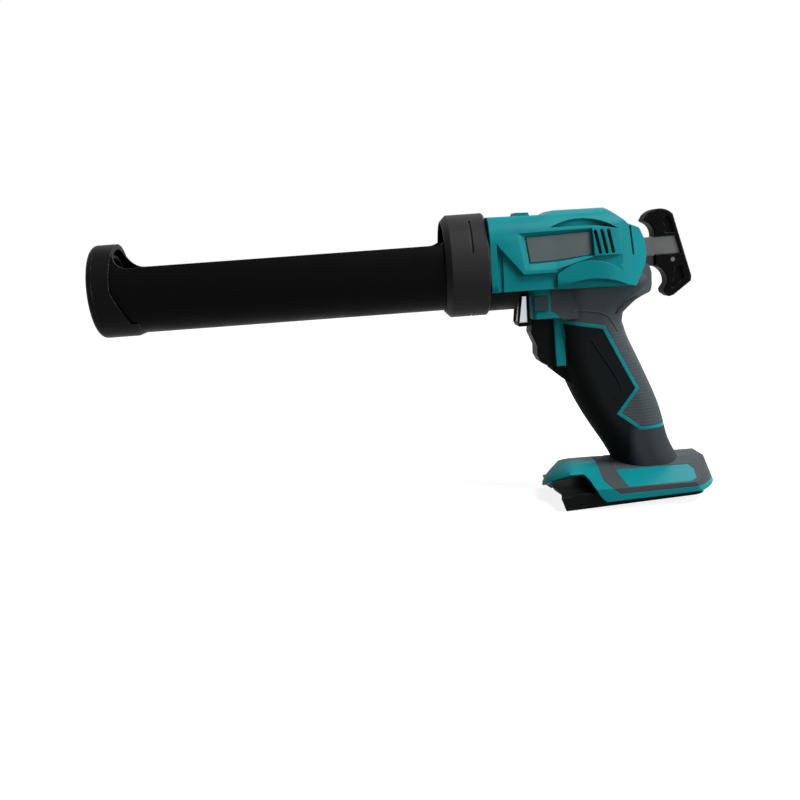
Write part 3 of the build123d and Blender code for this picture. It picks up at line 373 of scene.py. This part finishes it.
def body_skin(x, z):
    """Half width of the body's outside: round roof and tapered rear."""
    above = max(0.0, z - (body_top - roof_radius))
    behind = max(0.0, x - taper_start)
    roof = body_half_width - roof_radius + sqrt(roof_radius ** 2 - above ** 2)
    rear = body_half_width - taper_radius + sqrt(taper_radius ** 2 - behind ** 2)
    return min(roof, rear)


def grip_skin(x, z):
    """Half width of the grip's outside near its front."""
    front, back, half = between(grip_rows, z)
    corner = grip_corner * half
    return half - corner + sqrt(corner ** 2 - min(corner, max(0.0, corner + front - x)) ** 2)


def foot_roof(y):
    """Height of the foot's roof, which falls away beside its flat middle."""
    return foot_top - foot_slope * max(0.0, abs(y) - foot_flat)


def foot_reach(z):
    """Half width of the foot's roof at a height."""
    return foot_flat - (z - foot_top) / foot_slope


def block(bm, columns, near, outer, side, slot=0):
    """Add a solid over columns of the side view, each given by its place, low end and high end.

    It lies between two distances from the middle plane, each a number or a function of place and height.
    """
    def layer(reach):
        return [
            [bm.verts.new(metres(body_front + x, side * (reach(x, z) if callable(reach) else reach), z))
             for z in steps(low, high, block_rows)]
            for x, low, high in columns
        ]

    inner, outside = layer(near), layer(outer)
    last = len(columns) - 1
    faces = []
    for i in range(last):
        for k in range(block_rows):
            for sheet in (inner, outside):
                faces.append((sheet[i][k], sheet[i + 1][k], sheet[i + 1][k + 1], sheet[i][k + 1]))
        for k in (0, block_rows):
            faces.append((inner[i][k], inner[i + 1][k], outside[i + 1][k], outside[i][k]))
    for i in (0, last):
        for k in range(block_rows):
            faces.append((inner[i][k], inner[i][k + 1], outside[i][k + 1], outside[i][k]))
    made = [bm.faces.new(face) for face in faces]
    for face in made:
        face.material_index = slot
    bmesh.ops.recalc_face_normals(bm, faces=made)


def sector(bm, start, end, inner, outer, low, high, count):
    """Add a slice of a ring round the plunger axis, its angles in degrees."""
    corners = ((start, inner), (end, inner), (end, outer), (start, outer))
    loops = []
    for turn in steps(radians(low), radians(high), count):
        loops.append([bm.verts.new(metres(x, r * cos(turn), r * sin(turn))) for x, r in corners])
    made = []
    for a, b in zip(loops, loops[1:]):
        made += [bm.faces.new((a[k], a[k - 1], b[k - 1], b[k])) for k in range(len(corners))]
    made += [bm.faces.new(loops[0]), bm.faces.new(loops[-1])]
    bmesh.ops.recalc_face_normals(bm, faces=made)


def piece_of(name, bm, *mats):
    """New piece with the mesh and the materials given."""
    mesh = bpy.data.meshes.new(name)
    bmesh.ops.triangulate(bm, faces=bm.faces)
    bm.to_mesh(mesh)
    bm.free()
    for mat in mats:
        mesh.materials.append(mat)
    piece = bpy.data.objects.new(name, mesh)
    scene.collection.objects.link(piece)
    return piece


def copy_of(node, name):
    """Welded copy of a node as a new piece in its place."""
    bm = bmesh.new()
    bm.from_mesh(nodes[node].data)
    bmesh.ops.remove_doubles(bm, verts=bm.verts, dist=weld_distance)
    return piece_of(name, bm, *nodes[node].data.materials)


def combine(piece, tool, kind):
    """Join a solid to a piece or take it away, and drop the solid."""
    step = piece.modifiers.new("form", "BOOLEAN")
    step.operation = kind
    step.solver = "EXACT"
    step.material_mode = "TRANSFER"
    step.object = tool
    bpy.context.view_layer.update()
    evaluated = piece.evaluated_get(bpy.context.evaluated_depsgraph_get())
    mesh = bpy.data.meshes.new_from_object(evaluated)
    piece.modifiers.clear()
    piece.data = mesh
    bpy.data.objects.remove(tool)


def refine(piece, inside, longest):
    """Divide the long edges of a region, four times over."""
    bm = bmesh.new()
    bm.from_mesh(piece.data)
    for halving in range(4):
        long_edges = [
            edge for edge in bm.edges
            if edge.calc_length() > longest / 1000 and any(inside(vert.co) for vert in edge.verts)
        ]
        bmesh.ops.subdivide_edges(bm, edges=long_edges, cuts=1)
        bmesh.ops.triangulate(bm, faces=bm.faces)
    bm.to_mesh(piece.data)
    bm.free()


def seat(piece, node):
    """Let a formed piece stand for its node."""
    smooth(piece)
    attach(piece, "tool")
    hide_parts(node)


def carry(piece):
    """Let an added piece ride on the tool."""
    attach(piece, "tool")


# Slimmer lower end of the grip: height and share of the half width that is left
slim_rows = [(-141.0, 0.771), (-124.0, 0.88), (-110.0, 0.985), (-106.0, 1.0)]
slim_low = -141.5
slim_top = -106.0
slim_reach = 1.5
roof_tolerance = 0.08


def slim(piece, whole=False):
    """Draw the lower end of the grip in towards the middle, along the foot's roof where it meets it."""
    for vert in piece.data.vertices:
        x, y, z = (1000 * value for value in vert.co)
        if not slim_low < z < slim_top:
            continue
        front, back, half = between(grip_rows, z)
        corner = grip_corner * half
        lengthwise = abs(x - body_front - (front + back) / 2) - (back - front) / 2 + corner
        across = abs(y) - half + corner
        round_part = hypot(max(lengthwise, 0.0), max(across, 0.0))
        beyond = round_part + min(max(lengthwise, across), 0.0) - corner
        if beyond > slim_reach and not whole:
            continue
        share = between(slim_rows, z)[0]
        if abs(z - foot_roof(y)) < roof_tolerance:
            vert.co.z = foot_roof(y * share) / 1000
        vert.co.y = y * share / 1000


# Nose of the foot, a blunt wedge
nose_rear = 57.0
nose_top = -131.5
nose_edge_length = 5.0
wedge_flat = 3.0
wedge_radius = 4.0


def in_nose(spot):
    return spot.z < nose_top / 1000 and spot.x < (body_front + nose_rear) / 1000


def point_nose(piece, front, half, corner, tip, slope):
    """Draw the front of a foot piece back towards its sides, into a blunt wedge."""
    refine(piece, in_nose, nose_edge_length)
    for vert in piece.data.vertices:
        if in_nose(vert.co):
            x, y = 1000 * vert.co.x - body_front, 1000 * abs(vert.co.y)
            turn_in = min(corner, max(0.0, y - half + corner))
            edge = front + corner - sqrt(corner ** 2 - turn_in ** 2)
            wedge = tip + slope * (hypot(max(0.0, y - wedge_flat), wedge_radius) - wedge_radius)
            if wedge > edge:
                vert.co.x += (wedge - edge) * min(1.0, (nose_rear - x) / (nose_rear - edge)) / 1000


# Housing: crescent under the roof's edge, with the fill that it is cut from
brow_front = 31.3
brow_rear = 72.0
brow_floor = 24.2
brow_least = 0.02
brow_steps = 28
brow_top = arch((brow_front, 19.6), (50.0, 23.8), (brow_rear, 16.6))
brow_low = [(brow_front, 19.6), (58.0, 19.2), (brow_rear, 16.6)]
fill_low = [(30.4, 19.1), (58.0, 18.7), (72.2, 17.0)]
fill_top = 23.6
fill_floor = 24.9
fill_sunk = 0.02
fill_steps = 24

# Housing: ledge over the cheek's arc, and the slope of the rear
cheek_front = 34.5
cheek_rear = 76.7
cheek_steps = 28
cheek_top = arch((cheek_front, -8.6), (56.0, -1.6), (cheek_rear, -11.5))
cheek_tail = (77.9, 0.9, 1.0)
recess_low = [(cheek_front, -5.4), (57.6, 1.0), (78.0, 1.0)]
ledge_floor = 27.2
rear_slope = [
    (66.8, 29.5), (75.2, 22.2), (79.0, 18.9), (86.9, 16.0), (90.0, 10.6), (92.4, 2.0), (95.0, 2.0),
]
above_roof = 45.0

# Housing: lower lips of the trigger guard, and a cut where the front pad meets them whose faces are painted
# black as shade
guard_lip = [(34.9, -58.0, -57.0), (35.3, -66.6, -57.0), (43.2, -66.6, -57.0)]
guard_inside = 9.82
guard_outside = 12.78
guard_shade = [(41.0, -70.0, -41.3), (46.0, -70.0, -41.8)]
guard_shade_inside = 12.7
guard_shade_outside = 30.0

# Housing: open mouth of the foot, which leaves a tongue in its middle
mouth_front = [(15.0, -130.0), (48.3, -130.0)]
mouth_rear = [(48.4, -136.5), (50.5, -139.0), (51.5, -141.4), (55.2, -148.4), (58.5, -154.0)]
mouth_low = -165.0
tongue_half_width = 20.0
tongue_low = -147.0
tongue_slope = 0.52
shell_wedge = 0.64


def tongue_side(x, z):
    """Distance from the middle at which the mouth is cut beside the tongue."""
    return min(tongue_half_width, max(past_middle, (z - tongue_low) / tongue_slope))


def form_shell(hand, side):
    """One half of the housing with its later forms."""
    shell = copy_of(f"housing_{hand}", f"formed_housing_{hand}")
    added = bmesh.new()
    fill_places = steps(fill_low[0][0], fill_low[-1][0], fill_steps)
    block(added, [(x, between(fill_low, x)[0], fill_top) for x in fill_places],
          fill_floor, lambda x, z: body_skin(x, z) - fill_sunk, side)
    block(added, guard_lip, guard_inside, guard_outside, side)
    combine(shell, piece_of("added", added, teal), "UNION")

    cut = bmesh.new()
    brow_lows = [(x, between(brow_low, x)[0]) for x in steps(brow_front, brow_rear, brow_steps)]
    block(cut, [(x, low, max(brow_top(x), low + brow_least)) for x, low in brow_lows], brow_floor, far, side)
    cheek_places = steps(cheek_front, cheek_rear, cheek_steps)
    cheek_columns = [(x, cheek_top(x), between(recess_low, x)[0]) for x in cheek_places]
    block(cut, cheek_columns + [cheek_tail], ledge_floor, far, side)
    block(cut, [(x, z, above_roof) for x, z in rear_slope], past_middle, far, side)
    # The faces of this cut take black rubber as painted shade
    block(cut, guard_shade, guard_shade_inside, guard_shade_outside, side, 1)
    combine(shell, piece_of("cut", cut, teal, black_rubber), "DIFFERENCE")

    point_nose(shell, foot_front, foot_half_width, foot_corner, foot_front, shell_wedge)
    cut = bmesh.new()
    block(cut, [(x, mouth_low, z) for x, z in mouth_front + mouth_rear], tongue_side, far, side)
    combine(shell, piece_of("cut", cut, teal), "DIFFERENCE")
    slim(shell)
    seat(shell, f"housing_{hand}")


# Front pad: cheeks beside the lower end of the trigger
pad_cheek_front = 41.6
pad_cheek_rear = 45.4
pad_cheek_steps = 8
pad_cheek_low = -71.0
pad_cheek_top = -66.65
pad_cheek_inside = 5.0
pad_cheek_outside = 13.2
pad_cheek_proud = 1.2


def form_front_pad(hand, side):
    """Front grip pad with its cheek and its slimmer end."""
    pad = copy_of(f"grip_front_{hand}", f"formed_grip_front_{hand}")
    added = bmesh.new()
    places = steps(pad_cheek_front, pad_cheek_rear, pad_cheek_steps)
    block(added, [(x, pad_cheek_low, pad_cheek_top) for x in places], pad_cheek_inside,
          lambda x, z: min(pad_cheek_outside, grip_skin(x, z) + pad_cheek_proud), side)
    combine(pad, piece_of("added", added, grip_rubber), "UNION")
    slim(pad, whole=True)
    seat(pad, f"grip_front_{hand}")
    return pad


# Foot pad and the grey margin above its inset
margin_front = 68.3
margin_rear = 119.0
margin_near = 8.2
margin_outer = 17.4
margin_sunk = 0.3
margin_proud = 0.16


def form_foot_pad(hand):
    """Foot pad that follows the slimmer end of the grip."""
    pad = copy_of(f"foot_pad_{hand}", f"formed_foot_pad_{hand}")
    slim(pad)
    seat(pad, f"foot_pad_{hand}")


def make_margin(hand, side):
    """Thin strip on the foot's sloping roof."""
    strip = bmesh.new()
    low, high = foot_roof(margin_outer), foot_roof(margin_near)
    block(strip, [(x, low, high) for x in (margin_front, margin_rear)],
          lambda x, z: foot_reach(z) - margin_sunk, lambda x, z: foot_reach(z) + margin_proud, side)
    carry(piece_of(f"inset_margin_{hand}", strip, grey_rubber))


# Battery rail: blunt nose with chamfered top corners
rail_tip = 29.2
rail_wedge = 0.18
chamfer_places = steps(25.0, 42.0, 8)
chamfer_low = -160.0
chamfer_high = -140.0
chamfer_start = 19.4
chamfer_front = 31.0
chamfer_level = -146.1
chamfer_run = 1.1
chamfer_fall = 4.3
chamfer_limit = 50.0


def chamfer(x, z):
    """Distance from the middle at which the corner is cut, larger towards the rear and below."""
    behind = max(0.0, x - chamfer_front)
    below = max(0.0, chamfer_level - z)
    return min(chamfer_limit, chamfer_start + behind * chamfer_run + below * chamfer_fall)


def form_rail():
    rail = copy_of("battery_rail", "formed_battery_rail")
    point_nose(rail, rail_front, rail_half_width, rail_corner, rail_tip, rail_wedge)
    for side in (-1, 1):
        cut = bmesh.new()
        block(cut, [(x, chamfer_low, chamfer_high) for x in chamfer_places], chamfer, far, side)
        combine(rail, piece_of("cut", cut, black_plastic), "DIFFERENCE")
    seat(rail, "battery_rail")


# Collar nut: slots for a hook spanner, placed from the frame's origin, with their angles in degrees
key_slot_count = 3
key_slot_front = collar_front + 15.6
key_slot_rear = collar_front + 17.0
key_slot_floor = 30.9
key_slot_outside = 40.0
key_slot_start = 121.0
key_slot_end = 165.0
key_slot_steps = 16


def form_collar():
    collar = copy_of("collar_nut", "formed_collar_nut")
    slots = bmesh.new()
    for k in range(key_slot_count):
        turn = k * 360 / key_slot_count
        sector(slots, key_slot_front, key_slot_rear, key_slot_floor, key_slot_outside,
               key_slot_start + turn, key_slot_end + turn, key_slot_steps)
    combine(collar, piece_of("slots", slots, dark_metal), "DIFFERENCE")
    seat(collar, "collar_nut")


# Back pads: the hump under the plunger rod runs down into the grip without a step
hump_rows = [(-40.0, 0.0), (-34.0, 0.8), (-29.0, 2.2), (-26.5, 4.5), (-23.5, 8.5), (-19.0, 15.0)]
hump_margin = 0.2
hump_front = 59.7
hump_low = -46.0
hump_high = -19.0
hump_edge_length = 1.5


def hump_limit(y, z):
    """Rearmost place of the pad's surface, from the origin of the frame."""
    front, back, half = between(grip_rows, z)
    corner = grip_corner * half
    across = min(corner, max(0.0, abs(y) - half + corner))
    grip_back = body_front + back - corner + sqrt(corner ** 2 - across ** 2)
    return grip_back + between(hump_rows, z)[0] + hump_margin


def under_hump(spot):
    return spot.x > (body_front + hump_front) / 1000 and hump_low / 1000 < spot.z < hump_high / 1000


def form_back_pad(hand):
    """Back grip pad with the hump's lower edge drawn in to the grip."""
    pad = copy_of(f"grip_back_{hand}", f"settled_grip_back_{hand}")
    refine(pad, under_hump, hump_edge_length)
    for vert in pad.data.vertices:
        if under_hump(vert.co):
            vert.co.x = min(vert.co.x, hump_limit(vert.co.y * 1000, vert.co.z * 1000) / 1000)
    seat(pad, f"grip_back_{hand}")
    return pad


# Skin over the run of the hump into the grip
skin_heights = steps(-43.0, -26.0, 30)
skin_widths = steps(0.0, 18.2, 26)
skin_turn = 17.2
skin_sink = 0.7
skin_rim_rows = 5
skin_proud = 0.12
skin_under = -0.8


def make_hump_skin(hand, side):
    """Two thin sheets, one just over the pad and one inside it, with their edges sunk in the pad."""
    bm = bmesh.new()
    last = len(skin_heights) - 1
    for depth in (skin_proud, skin_under):
        grid = []
        for k, z in enumerate(skin_heights):
            rim = max(0.0, 1 - min(k, last - k) / skin_rim_rows)
            row = []
            for y in skin_widths:
                sunk = skin_sink * max(rim, max(0.0, y - skin_turn))
                row.append(bm.verts.new(metres(hump_limit(y, z) + depth - sunk, side * y, z)))
            grid.append(row)
        for low, high in zip(grid, grid[1:]):
            for k in range(len(skin_widths) - 1):
                bm.faces.new((low[k], low[k + 1], high[k + 1], high[k]))
    bmesh.ops.recalc_face_normals(bm, faces=bm.faces)
    skin = piece_of(f"hump_skin_{hand}", bm, ribbed_rubber)
    smooth(skin)
    carry(skin)


# Fine raised lines in the palm of the front pad and at the neck of the back pad
palm_trail = [
    (56.4, -50.9), (61.5, -59.0), (68.4, -70.4), (73.6, -79.9), (74.6, -83.6), (73.4, -86.7), (67.8, -89.7),
]
neck_trail = [(44.0, -32.0), (52.3, -32.1), (62.1, -33.9), (66.9, -36.5), (70.8, -42.1), (73.8, -47.7)]
line_radius = 0.4
line_steps = 6
beside_grip = 80.0


def raised_line(name, pad, side, trail, mat):
    """Thin line laid on the side of a pad, through points of the side view."""
    bpy.context.view_layer.update()
    spots = []
    for start, end in zip(trail, trail[1:]):
        for k in range(line_steps):
            x, z = (a + (b - a) * k / line_steps for a, b in zip(start, end))
            beside = Vector(metres(body_front + x, side * beside_grip, z))
            hit, spot, normal, face = pad.ray_cast(beside, Vector((0, -side, 0)))
            if hit:
                spots.append(spot)
    curve = bpy.data.curves.new(name, "CURVE")
    curve.dimensions = "3D"
    curve.bevel_depth = line_radius / 1000
    curve.bevel_resolution = 3
    curve.use_fill_caps = True
    spline = curve.splines.new("NURBS")
    spline.points.add(len(spots) - 1)
    for point, spot in zip(spline.points, spots):
        point.co = (*spot, 1)
    spline.order_u = 4
    spline.use_endpoint_u = True
    curve.materials.append(mat)
    line = bpy.data.objects.new(name, curve)
    scene.collection.objects.link(line)
    carry(line)


# Forms in their places
front_pads = {}
for hand, side in hands:
    form_shell(hand, side)
    front_pads[hand] = form_front_pad(hand, side)
    form_foot_pad(hand)
    make_margin(hand, side)
form_rail()
form_collar()
for hand, side in hands:
    back_pad = form_back_pad(hand)
    make_hump_skin(hand, side)
    raised_line(f"palm_line_{hand}", front_pads[hand], side, palm_trail, black_rubber)
    raised_line(f"neck_line_{hand}", back_pad, side, neck_trail, grey_rubber)

# Studio: white surround where it is looked at, softer grey as a light
world_light = (0.036, 0.038, 0.041, 1)
white = (1, 1, 1, 1)
floor_size = 6
floor_middle = 0.2
floor_gap = 0.0005
floor_grey = (0.2, 0.2, 0.2, 1)
floor_rough = 0.9
shadow_grey = (0.35, 0.35, 0.35, 1)
floor_glow = (0.86, 1.0)
glow_reach = (0.35, 0.9)


def looked_at(tree):
    """1 for rays that show the surround: straight, mirrored or through glass."""
    rays = tree.nodes.new("ShaderNodeLightPath")
    total = rays.outputs["Is Camera Ray"]
    for kind in ("Is Glossy Ray", "Is Transmission Ray"):
        either = tree.nodes.new("ShaderNodeMath")
        either.operation = "ADD"
        either.use_clamp = True
        feed(tree, either.inputs[0], total)
        feed(tree, either.inputs[1], rays.outputs[kind])
        total = either.outputs["Value"]
    return total


def make_world():
    world = bpy.data.worlds.new("studio")
    scene.world = world
    world.use_nodes = True
    tree = world.node_tree
    shade = mixed(tree, looked_at(tree), world_light, white)
    feed(tree, tree.nodes["Background"].inputs["Color"], shade)


def floor_material():
    """Floor that looks white but for a soft shadow, and gives the tool little light."""
    mat = bpy.data.materials.new("floor")
    mat.use_nodes = True
    tree = mat.node_tree
    pale = tree.nodes["Principled BSDF"]
    pale.inputs["Base Color"].default_value = floor_grey
    pale.inputs["Roughness"].default_value = floor_rough
    place = tree.nodes.new("ShaderNodeTexCoord")
    away = tree.nodes.new("ShaderNodeVectorMath")
    away.operation = "LENGTH"
    feed(tree, away.inputs[0], place.outputs["Object"])
    glow = tree.nodes.new("ShaderNodeEmission")
    feed(tree, glow.inputs["Strength"], spread(tree, away.outputs["Value"], floor_glow, glow_reach))
    shaded = tree.nodes.new("ShaderNodeBsdfDiffuse")
    shaded.inputs["Color"].default_value = shadow_grey
    shown = tree.nodes.new("ShaderNodeAddShader")
    feed(tree, shown.inputs[0], glow.outputs["Emission"])
    feed(tree, shown.inputs[1], shaded.outputs["BSDF"])
    either = tree.nodes.new("ShaderNodeMixShader")
    feed(tree, either.inputs["Fac"], looked_at(tree))
    feed(tree, either.inputs[1], pale.outputs["BSDF"])
    feed(tree, either.inputs[2], shown.outputs["Shader"])
    feed(tree, tree.nodes["Material Output"].inputs["Surface"], either.outputs["Shader"])
    return mat


def make_floor():
    lowest = min(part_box(name)[0].z for name in nodes)
    bpy.ops.mesh.primitive_plane_add(size=floor_size, location=(floor_middle, 0, lowest - floor_gap))
    floor = bpy.context.object
    floor.name = "floor"
    floor.data.materials.append(floor_material())


def softbox(name, place, target, size, power):
    """Square area light aimed at a point."""
    data = bpy.data.lights.new(name, "AREA")
    data.size = size
    data.energy = power
    lamp = bpy.data.objects.new(name, data)
    scene.collection.objects.link(lamp)
    lamp.location = place
    lamp.rotation_euler = (Vector(target) - Vector(place)).to_track_quat("-Z", "Y").to_euler()


make_world()
make_floor()
softbox("key", (0.85, -0.42, 0.95), (0.25, 0, -0.04), size=0.5, power=24)
softbox("fill", (1.05, -0.6, 0.25), (0.3, 0, -0.05), size=0.4, power=5)
softbox("rim", (0.85, 0.6, 0.4), (0.3, 0, 0), size=0.5, power=5)

# Camera
camera_place = (0.1645, -0.57167, 0.01752)
yaw = radians(1.80)
pitch = radians(9.93)
roll = radians(-4.12)
focal_length = 40.5
sensor_width = 36
clip_start = 0.01


def make_camera():
    ahead = Vector((sin(yaw) * cos(pitch), cos(yaw) * cos(pitch), -sin(pitch)))
    level = Vector((cos(yaw), -sin(yaw), 0))
    upright = level.cross(ahead)
    right = cos(roll) * level + sin(roll) * upright
    up = cos(roll) * upright - sin(roll) * level
    lens = bpy.data.cameras.new("camera")
    lens.lens = focal_length
    lens.sensor_width = sensor_width
    lens.clip_start = clip_start
    camera = bpy.data.objects.new("camera", lens)
    scene.collection.objects.link(camera)
    stand = Matrix((right, up, -ahead)).transposed().to_4x4()
    stand.translation = Vector(camera_place)
    camera.matrix_world = stand
    scene.camera = camera


make_camera()
scene.view_settings.view_transform = "Standard"
